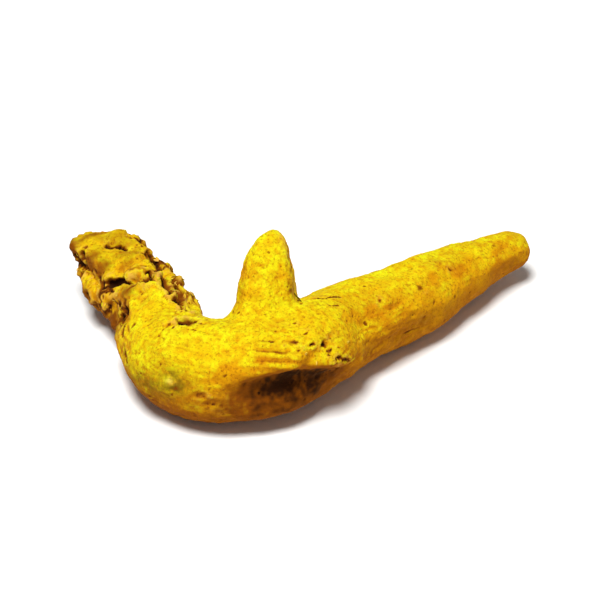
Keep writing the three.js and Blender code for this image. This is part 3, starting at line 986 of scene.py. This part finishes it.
def coated(tree, spot, under, over, coat):
    """One colour with another over it, as thick as the coat says."""
    shares = []
    if coat.patches:
        shares.append(patch_mask(tree, spot, coat.patches))
    if coat.strength < 1:
        shares.append(coat.strength)
    if coat.spread:
        spread = add(tree, "ShaderNodeAttribute", attribute_name=coat.spread).outputs["Fac"]
        if coat.ranged:
            fade = zip(RANGE_INPUTS, (spread, *coat.ranged))
            spread = add(tree, "ShaderNodeMapRange", fade, interpolation_type="SMOOTHSTEP").outputs[0]
        shares.append(spread)
    mix = zip(MIX_INPUTS, (multiplied(tree, shares), under, over))
    return add(tree, "ShaderNodeMix", mix, data_type="RGBA").outputs[MIX_COLOUR]


def painted(tree, spot, base, colours, coats):
    """One colour with coats of others over it."""
    for coat in coats:
        over = getattr(colours, coat.colour)
        if coat.second:
            name, patches = coat.second
            over = coated(tree, spot, over, getattr(colours, name), Coat(name, patches=patches))
        base = coated(tree, spot, base, over, coat)
    return base


def speck_mask(tree, spot):
    """Round specks of many sizes, in patches."""
    cells = add(tree, "ShaderNodeTexVoronoi", {"Vector": spot, "Scale": per_mm(SPECK_CELL)})
    own = add(tree, "ShaderNodeSeparateColor", {0: cells.outputs["Color"]}).outputs[0]
    sizes = zip(RANGE_INPUTS, (own, *SPECK_SIZES))
    size = add(tree, "ShaderNodeMapRange", sizes, interpolation_type="SMOOTHSTEP").outputs[0]
    gap = {0: size, 1: cells.outputs["Distance"]}
    inside = add(tree, "ShaderNodeMath", gap, operation="SUBTRACT").outputs[0]
    edge = zip(RANGE_INPUTS, (inside, *SPECK_EDGE))
    speck = add(tree, "ShaderNodeMapRange", edge, interpolation_type="SMOOTHSTEP").outputs[0]
    patches = patch_mask(tree, spot, SPECK_PATCHES)
    return multiplied(tree, (speck, patches, SPECK_STRENGTH))


def turmeric_rind(name, colours):
    """Dried turmeric rind: a dead matt skin full of its own yellow powder, which lies palest on the
    ridges and upper sides, partly as painted light; the thin orange-brown layer beneath shows in fine
    mottling where the powder is thin and as painted shade on the lower sides, and the cracks are dark
    brown, with painted shade in them and in the hollows. No gloss but a faint bloom."""
    material, tree, shader, spot = started(name)
    ground = painted(tree, spot, colours.amber, colours, GROUND_COATS)
    specks = zip(MIX_INPUTS, (speck_mask(tree, spot), ground, colours.speck))
    specked = add(tree, "ShaderNodeMix", specks, data_type="RGBA").outputs[MIX_COLOUR]
    bump = {}
    for grain in RIND_GRAINS:
        look = {"Vector": spot, "Scale": per_mm(grain.size), "Detail": grain.detail}
        look["Roughness"] = grain.roughness
        noise = add(tree, "ShaderNodeTexNoise", look).outputs[0]
        bump.update({"Strength": grain.strength, "Distance": grain.height * MM, "Height": noise})
        bump["Normal"] = add(tree, "ShaderNodeBump", bump).outputs[0]
    finish = {
        "Base Color": painted(tree, spot, specked, colours, MARKS_AND_SHADE_COATS),
        "Roughness": patch_mask(tree, spot, RIND_ROUGHNESS),
        "IOR": 1.45,
        "Specular IOR Level": 0.06,
        "Sheen Weight": 0.02,
        "Sheen Roughness": 0.6,
        "Sheen Tint": colours.powder,
        "Normal": bump["Normal"],
    }
    fill(tree, shader, finish)
    return material


def papery_skin(name, colours):
    """Dried, torn outer skin of turmeric: thin, papery and matt, paler and pinker than the powdered
    rind, with brown dirt in its grain."""
    material, tree, shader, spot = started(name)
    clean = painted(tree, spot, colours.torn, colours, SKIN_COATS)
    look = {"Vector": spot, "Scale": per_mm(0.25), "Detail": 2.0}
    fine = add(tree, "ShaderNodeTexNoise", look).outputs[0]
    dirt = add(tree, "ShaderNodeMapRange", zip(RANGE_INPUTS, (fine, 0.55, 0.8, 0.0, 0.5))).outputs[0]
    mix = zip(MIX_INPUTS, (dirt, clean, colours.rust))
    dirty = add(tree, "ShaderNodeMix", mix, data_type="RGBA").outputs[MIX_COLOUR]
    bump = {"Strength": 0.5, "Distance": 0.05 * MM, "Height": fine}
    grain = add(tree, "ShaderNodeBump", bump).outputs[0]
    finish = {"Base Color": dirty, "Normal": grain, "Roughness": 0.85, "Specular IOR Level": 0.15}
    fill(tree, shader, finish)
    return material


def loose_powder(name, colours):
    """Ground turmeric: dry grains with no shine at all, from ochre to lemon."""
    material, tree, shader, spot = started(name)
    mixed = painted(tree, spot, colours.ochre, colours, CRUMB_COATS)
    fill(tree, shader, {"Base Color": mixed, "Roughness": 0.95, "Specular IOR Level": 0.05})
    return material


STREWING_INPUTS = (
    ("Rind", "Geometry"),
    ("Shape", "Object"),
    ("Where", "String"),
    ("Spacing", "Float"),
    ("Crowding", "Float"),
    ("Smallest", "Float"),
    ("Largest", "Float"),
    ("Lean", "Float"),
    ("Sink", "Float"),
    ("Seed", "Int"),
    ("Material", "Material"),
)


def strewing_tree():
    """Geometry nodes that strew copies of a small shape over the rind, thickest where an attribute
    is highest."""
    name = "strew over the rind"
    if name in bpy.data.node_groups:
        return bpy.data.node_groups[name]
    tree = bpy.data.node_groups.new(name, "GeometryNodeTree")
    tree.interface.new_socket("Geometry", in_out="OUTPUT", socket_type="NodeSocketGeometry")
    for socket, kind in STREWING_INPUTS:
        tree.interface.new_socket(socket, in_out="INPUT", socket_type="NodeSocket" + kind)
    given = add(tree, "NodeGroupInput").outputs
    share = add(tree, "GeometryNodeInputNamedAttribute", {"Name": given["Where"]}).outputs[0]
    spread = {
        "Mesh": given["Rind"],
        "Distance Min": given["Spacing"],
        "Density Max": given["Crowding"],
        "Density Factor": share,
        "Seed": given["Seed"],
    }
    spots = add(tree, "GeometryNodeDistributePointsOnFaces", spread, distribute_method="POISSON")
    facing = spots.outputs["Normal"]
    down = add(tree, "ShaderNodeMath", {0: given["Sink"], 1: -1.0}, operation="MULTIPLY").outputs[0]
    sinking = {0: facing, "Scale": down}
    sunk = add(tree, "ShaderNodeVectorMath", sinking, operation="SCALE").outputs[0]
    moved = {"Geometry": spots.outputs["Points"], "Offset": sunk}
    placed = add(tree, "GeometryNodeSetPosition", moved).outputs[0]
    upright = add(tree, "FunctionNodeAlignRotationToVector", {"Vector": facing}, axis="Z").outputs[0]
    back = add(tree, "ShaderNodeMath", {0: given["Lean"], 1: -1.0}, operation="MULTIPLY").outputs[0]
    least = add(tree, "ShaderNodeCombineXYZ", {0: back, 1: back, 2: 0.0}).outputs[0]
    full = {0: given["Lean"], 1: given["Lean"], 2: 2 * math.pi}
    most = add(tree, "ShaderNodeCombineXYZ", full).outputs[0]
    leaning = {0: least, 1: most, "Seed": given["Seed"]}
    lean = add(tree, "FunctionNodeRandomValue", leaning, data_type="FLOAT_VECTOR").outputs[0]
    turning = {"Rotation": upright, "Rotate By": lean}
    turned = add(tree, "FunctionNodeRotateRotation", turning, rotation_space="LOCAL").outputs[0]
    sizes = {0: given["Smallest"], 1: given["Largest"], "Seed": given["Seed"]}
    size = add(tree, "FunctionNodeRandomValue", sizes, data_type="FLOAT_VECTOR").outputs[0]
    shape = add(tree, "GeometryNodeObjectInfo", {"Object": given["Shape"]}).outputs["Geometry"]
    setting = {"Points": placed, "Instance": shape, "Rotation": turned, "Scale": size}
    copies = add(tree, "GeometryNodeInstanceOnPoints", setting).outputs[0]
    plain = add(tree, "GeometryNodeRealizeInstances", {0: copies}).outputs[0]
    dress = {0: plain, "Material": given["Material"]}
    add(tree, "NodeGroupOutput", {0: add(tree, "GeometryNodeSetMaterial", dress).outputs[0]})
    return tree


def strewn(name, shape, material, **settings):
    """A piece made of many copies of one shape over the rind."""
    rind = bpy.data.objects.get("rind")
    if rind is None:
        raise RuntimeError("the rind has to be made first")
    obj = link(bpy.data.objects.new(name, rind.data.copy()))
    pattern = link(bpy.data.objects.new(name + "_shape", shape))
    nodes = obj.modifiers.new("Strewn", "NODES")
    nodes.node_group = strewing_tree()
    items = nodes.node_group.interface.items_tree
    sockets = {item.name: item.identifier for item in items if item.in_out == "INPUT"}
    for key, value in (("Shape", pattern), ("Material", material), *settings.items()):
        nodes[sockets[key]] = value
    baked(obj)
    bpy.data.objects.remove(pattern)
    if not len(obj.data.polygons):
        raise RuntimeError(name + " has no copies")
    finished(obj, material)


# ---- small shapes ----


def closed_mesh(name, points, faces):
    mesh = bpy.data.meshes.new(name)
    mesh.from_pydata(points, [], faces)
    shell = bmesh.new()
    shell.from_mesh(mesh)
    bmesh.ops.recalc_face_normals(shell, faces=shell.faces)
    shell.to_mesh(mesh)
    shell.free()
    return mesh


def curled_flake(long, wide, thick):
    """A torn scale of skin that is fast at one end and curls up at the other."""
    steps, strips = 4, 3
    ragged = (0.75, 1.0, 0.85, 0.95)  # how far each line of points reaches at the torn end
    sheets = []
    for side in (0.5, -0.5):
        for i, j in product(range(steps + 1), range(strips + 1)):
            out, across = i / steps, 2 * j / strips - 1
            reach = out * (1 - 0.25 * across * across) * (ragged[j] if i == steps else 1)
            narrow = 0.7 + 0.3 * math.sin(math.pi * (0.25 + 0.6 * out))
            edge = 0.35 if i == steps or j in (0, strips) else 1.0
            curl = 0.28 * long * reach**2.2 + 0.1 * wide * across * across
            rise = curl + side * thick * edge
            sheets.append((long * (reach - 0.15), wide / 2 * across * narrow, rise))
    row = strips + 1
    half = (steps + 1) * row
    faces = []
    for i, j in product(range(steps), range(strips)):
        corners = (i * row + j, (i + 1) * row + j, (i + 1) * row + j + 1, i * row + j + 1)
        faces += [corners, tuple(half + k for k in reversed(corners))]
    rim = list(range(row)) + [i * row + strips for i in range(1, steps + 1)]
    rim += [steps * row + j for j in range(strips - 1, -1, -1)]
    rim += [i * row for i in range(steps - 1, 0, -1)]
    faces += [(a, b, half + b, half + a) for a, b in zip(rim, rim[1:] + rim[:1])]
    return closed_mesh("curled_flake", sheets, faces)


def rootlet_stump(long, thick):
    """A short, bent, broken-off rootlet."""
    sides, rings = 6, 4
    points, faces = [], []
    for ring, spoke in product(range(rings), range(sides)):
        out = ring / (rings - 1)
        angle = 2 * math.pi * spoke / sides
        radius = thick / 2 * (1.5 - 0.8 * out**0.6)
        bend = 0.35 * long * out * out
        jag = 0.1 * math.sin(2 * angle) if ring == rings - 1 else 0
        height = long * (out * 0.9 + jag)
        points.append((radius * math.cos(angle) + bend, radius * math.sin(angle), height))
    for ring, spoke in product(range(rings - 1), range(sides)):
        here, there = ring * sides, (ring + 1) * sides
        after = (spoke + 1) % sides
        faces.append((here + spoke, here + after, there + after, there + spoke))
    faces.append(tuple(reversed(range(sides))))
    faces.append(tuple((rings - 1) * sides + spoke for spoke in range(sides)))
    return closed_mesh("rootlet_stump", points, faces)


def powder_crumb(size):
    """An angular grain of powder."""
    uneven = (1.0, 0.7, 1.15, 0.85)
    grain = bmesh.new()
    bmesh.ops.create_icosphere(grain, subdivisions=1, radius=size / 2)
    for number, corner in enumerate(grain.verts):
        corner.co *= uneven[number % len(uneven)]
    mesh = bpy.data.meshes.new("powder_crumb")
    grain.to_mesh(mesh)
    grain.free()
    return mesh


# ---- settings ----


def length(name, description, default):
    look = {"unit": "LENGTH", "precision": 5}
    return bpy.props.FloatProperty(name=name, description=description, default=default * MM, **look)


def passes(name, description, default):
    return bpy.props.IntProperty(name=name, description=description, default=default)


def amount(name, description, default, **look):
    return bpy.props.FloatProperty(name=name, description=description, default=default, **look)


def paint(name, description, default):
    look = {"size": 4, "min": 0, "max": 1, "subtype": "COLOR", "default": linear(default)}
    return bpy.props.FloatVectorProperty(name=name, description=description, **look)


class RindSettings(bpy.types.PropertyGroup):
    voxel: length("Mesh step", "Distance between the rind's vertices", 0.238)
    smoothing: passes("Smoothing", "Rounds that take the facets off the solid form", 20)
    blending: passes("Blending", "Extra rounds where one limb grows out of another", 45)


class ColourSettings(bpy.types.PropertyGroup):
    ochre: paint("Ochre", "Lighter ground of the rind", "#DEA406")
    amber: paint("Amber", "Darker ground of the rind", "#C68005")
    # orange-brown for fine bark mottling and for the painted shade on the lower sides
    bark_and_shade: paint("Bark", "Orange-brown of the lower sides", "#985405")
    # lemon and powder also paint the light on the upper sides and ridges
    lemon: paint("Lemon", "Thinner powder", "#DEC80A")
    powder: paint("Powder", "Powder lying thick on the upper sides", "#E2E414")
    speck: paint("Specks", "Brown specks", "#8A4E08")
    flesh: paint("Flesh", "Broken flesh at the stub's end", "#C0650A")
    # also paints the olive shade below the eye
    green: paint("Bud ring", "Olive ring of the bud's eye", "#66560A")
    pale: paint("Bud", "Pale knob of the bud", "#D8C860")
    torn: paint("Torn skin", "Pale edges of torn skin", "#DCA848")
    rust: paint("Rust", "Brown on the shoulders of the cracks", "#7E4206")
    # dark brown for cracks, dirt and stains, and for painted shade in hollows, pits, troughs and under the
    # ledge
    crevice_and_shade: paint("Crevices", "Dark brown of the cracks", "#301405")


class FlakeSettings(bpy.types.PropertyGroup):
    spacing: length("Spacing", "Least distance between flakes", 0.8)
    long: length("Length", "Length of a flake", 0.8)
    wide: length("Width", "Width of a flake", 1.0)
    thick: length("Thickness", "Thickness of a flake", 0.1)


class RootletSettings(bpy.types.PropertyGroup):
    spacing: length("Spacing", "Least distance between rootlet stumps", 1.3)
    long: length("Length", "Length of a rootlet stump", 0.55)
    thick: length("Thickness", "Thickness of a rootlet stump", 0.36)


class PowderSettings(bpy.types.PropertyGroup):
    spacing: length("Spacing", "Least distance between crumbs", 0.45)
    size: length("Size", "Size of a crumb", 0.2)


class StageSettings(bpy.types.PropertyGroup):
    distance: length("Camera distance", "From the camera to the root", 490.0)
    azimuth: amount("Azimuth", "Where the camera stands", math.radians(3.0), subtype="ANGLE")
    elevation: amount("Elevation", "Height of the view", math.radians(36.2), subtype="ANGLE")
    width: length("View width", "Width of the view at the root", 84.0)
    key_power: amount("Key light", "Key light, in watts", 32.0, unit="POWER")
    fill_power: amount("Fill light", "Fill light, in watts", 1.1, unit="POWER")
    sky: amount("Sky", "Light from all round", 0.16)


# ---- operators ----


class MakeRind(bpy.types.Operator):
    """Make the root's rind over the solid form, with all its relief"""

    bl_idname = "object.make_turmeric_rind"
    bl_label = "Rind"

    def execute(self, context):
        settings = context.scene.root_rind
        obj = voxel_body("rind", settings.voxel)
        mesh = obj.data
        ends = edge_ends(mesh)
        points, root = plain_form(mesh, ends, settings.smoothing, settings.blending)
        place(mesh, points)
        relief = Relief(points, ends)
        marks = carve(relief, root)
        points = points + normals(mesh) * relief.height[:, None]
        points[:, 2] = np.maximum(points[:, 2], 0.0)
        place(mesh, points)
        surface = surface_of(mesh, points, ends)
        coats = coat_shares(surface, relief, root)
        growth = growth_shares(surface, relief, root, coats)
        for name, values in {**coats, **marks, **growth}.items():
            keep(mesh, name, values)
        finished(obj, turmeric_rind("dried_turmeric_rind", context.scene.root_colours))
        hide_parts(NODE)
        return {"FINISHED"}


class GrowFlakes(bpy.types.Operator):
    """Set curled flakes of torn skin along the stub's cracks"""

    bl_idname = "object.grow_turmeric_flakes"
    bl_label = "Flakes"

    def execute(self, context):
        settings = context.scene.root_flakes
        strewn(
            "skin_flakes",
            curled_flake(settings.long, settings.wide, settings.thick),
            papery_skin("dried_papery_skin", context.scene.root_colours),
            Where="fringe",
            Spacing=settings.spacing,
            Crowding=2.0e6,
            Smallest=0.5,
            Largest=1.1,
            Lean=0.15,
            Sink=0.1 * MM,
            Seed=4,
        )
        return {"FINISHED"}


class SetRootlets(bpy.types.Operator):
    """Set the stumps of broken rootlets into the rind"""

    bl_idname = "object.set_turmeric_rootlets"
    bl_label = "Rootlet stumps"

    def execute(self, context):
        settings = context.scene.root_rootlets
        strewn(
            "rootlet_stumps",
            rootlet_stump(settings.long, settings.thick),
            papery_skin("dried_rootlet", context.scene.root_colours),
            Where="rooting",
            Spacing=settings.spacing,
            Crowding=1.0e6,
            Smallest=0.6,
            Largest=1.2,
            Lean=0.7,
            Sink=0.12 * MM,
            Seed=9,
        )
        return {"FINISHED"}


class StrewPowder(bpy.types.Operator):
    """Strew crumbs of turmeric powder over the rind"""

    bl_idname = "object.strew_turmeric_powder"
    bl_label = "Powder"

    def execute(self, context):
        settings = context.scene.root_powder
        strewn(
            "powder_crumbs",
            powder_crumb(settings.size),
            loose_powder("loose_turmeric_powder", context.scene.root_colours),
            Where="crumbly",
            Spacing=settings.spacing,
            Crowding=3.0e6,
            Smallest=0.4,
            Largest=1.1,
            Lean=math.pi,
            Sink=0.02 * MM,
            Seed=14,
        )
        return {"FINISHED"}


class SetStage(bpy.types.Operator):
    """Lay the pale floor, hang the soft lights and set up the camera"""

    bl_idname = "scene.set_turmeric_stage"
    bl_label = "Stage"

    # In metres, the lights' places as steps from the root's middle.
    KEY_OFFSET = (-0.19, -0.38, 1.5)
    KEY_SIZE = 0.65
    FILL_OFFSET = (1.2, -0.8, 0.65)
    FILL_SIZE = 1.0
    FLOOR_MIDDLE = (-0.12, -0.2)
    FLOOR_RADIUS = 0.5
    NEAREST_SEEN = 0.01

    FLOOR_SIDES = 96
    AIM = 0.85  # of the root's half height, where the camera looks
    WALL_BRIGHTNESS = 1.0
    WALL_TOPS = (0.04, 0.12)  # rise over which the low white walls fade into the sky

    def execute(self, context):
        scene = context.scene
        settings = scene.root_stage
        low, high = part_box(NODE)
        middle = (low + high) / 2
        middle.z *= self.AIM
        self.floor()
        self.sky(scene, settings.sky)
        self.light("key", middle, self.KEY_OFFSET, self.KEY_SIZE, settings.key_power)
        self.light("fill", middle, self.FILL_OFFSET, self.FILL_SIZE, settings.fill_power)
        flat = math.cos(settings.elevation)
        east = flat * math.sin(settings.azimuth)
        north = -flat * math.cos(settings.azimuth)
        away = Vector((east, north, math.sin(settings.elevation)))
        camera = link(bpy.data.objects.new("camera", bpy.data.cameras.new("camera")))
        camera.location = middle + settings.distance * away
        camera.rotation_euler = self.facing(-away)
        camera.data.lens = camera.data.sensor_width * settings.distance / settings.width
        camera.data.clip_start = self.NEAREST_SEEN
        scene.camera = camera
        scene.view_settings.view_transform = "Standard"
        return {"FINISHED"}

    @staticmethod
    def facing(way):
        """The turn that makes a camera or light look one way."""
        return way.to_track_quat("-Z", "Y").to_euler()

    def floor(self):
        """Round matt white board under the key light's pool."""
        turns = [2 * math.pi * i / self.FLOOR_SIDES for i in range(self.FLOOR_SIDES)]
        x, y = self.FLOOR_MIDDLE
        radius = self.FLOOR_RADIUS
        rim = [(x + radius * math.cos(turn), y + radius * math.sin(turn), 0) for turn in turns]
        mesh = bpy.data.meshes.new("floor")
        mesh.from_pydata(rim, [], [range(self.FLOOR_SIDES)])
        material = bpy.data.materials.new("matt_white_board")
        material.use_nodes = True
        tree = material.node_tree
        board = {"Base Color": linear("#F4F4F2"), "Roughness": 0.9, "Specular IOR Level": 0.1}
        fill(tree, tree.nodes["Principled BSDF"], board)
        mesh.materials.append(material)
        link(bpy.data.objects.new("floor", mesh))

    def sky(self, scene, strength):
        """Soft light from all round, over low white walls."""
        scene.world = bpy.data.worlds.new("studio")
        scene.world.use_nodes = True
        tree = scene.world.node_tree
        way = add(tree, "ShaderNodeTexCoord").outputs["Generated"]
        rise = add(tree, "ShaderNodeSeparateXYZ", {0: way}).outputs[2]
        walls = zip(RANGE_INPUTS, (rise, *self.WALL_TOPS, self.WALL_BRIGHTNESS, strength))
        glow = add(tree, "ShaderNodeMapRange", walls).outputs[0]
        fill(tree, tree.nodes["Background"], {"Color": (1.0, 1.0, 1.0, 1.0), "Strength": glow})

    def light(self, name, middle, offset, size, power):
        data = bpy.data.lights.new(name, "AREA")
        data.shape = "DISK"
        data.size = size
        data.energy = power
        obj = link(bpy.data.objects.new(name, data))
        obj.location = middle + Vector(offset)
        obj.rotation_euler = self.facing(-Vector(offset))


class RootPanel(bpy.types.Panel):
    """Buttons that make the root, in order"""

    bl_idname = "VIEW3D_PT_turmeric_root"
    bl_label = "Turmeric root"
    bl_space_type = "VIEW_3D"
    bl_region_type = "UI"
    bl_category = "Turmeric"

    def draw(self, context):
        for operator in OPERATORS:
            self.layout.operator(operator.bl_idname)
        for group, kind in SETTINGS:
            box = self.layout.box()
            for name in kind.__annotations__:
                box.prop(getattr(context.scene, group), name)


OPERATORS = (MakeRind, GrowFlakes, SetRootlets, StrewPowder, SetStage)
SETTINGS = (
    ("root_rind", RindSettings),
    ("root_colours", ColourSettings),
    ("root_flakes", FlakeSettings),
    ("root_rootlets", RootletSettings),
    ("root_powder", PowderSettings),
    ("root_stage", StageSettings),
)


def register():
    for name, group in SETTINGS:
        bpy.utils.register_class(group)
        setattr(bpy.types.Scene, name, bpy.props.PointerProperty(type=group))
    for made in (*OPERATORS, RootPanel):
        bpy.utils.register_class(made)


def unregister():
    for made in reversed((*OPERATORS, RootPanel)):
        bpy.utils.unregister_class(made)
    for name, group in reversed(SETTINGS):
        delattr(bpy.types.Scene, name)
        bpy.utils.unregister_class(group)


def main():
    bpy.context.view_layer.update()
    register()
    bpy.ops.object.make_turmeric_rind()
    bpy.ops.object.grow_turmeric_flakes()
    bpy.ops.object.set_turmeric_rootlets()
    bpy.ops.object.strew_turmeric_powder()
    bpy.ops.scene.set_turmeric_stage()


if __name__ == "__main__":
    main()
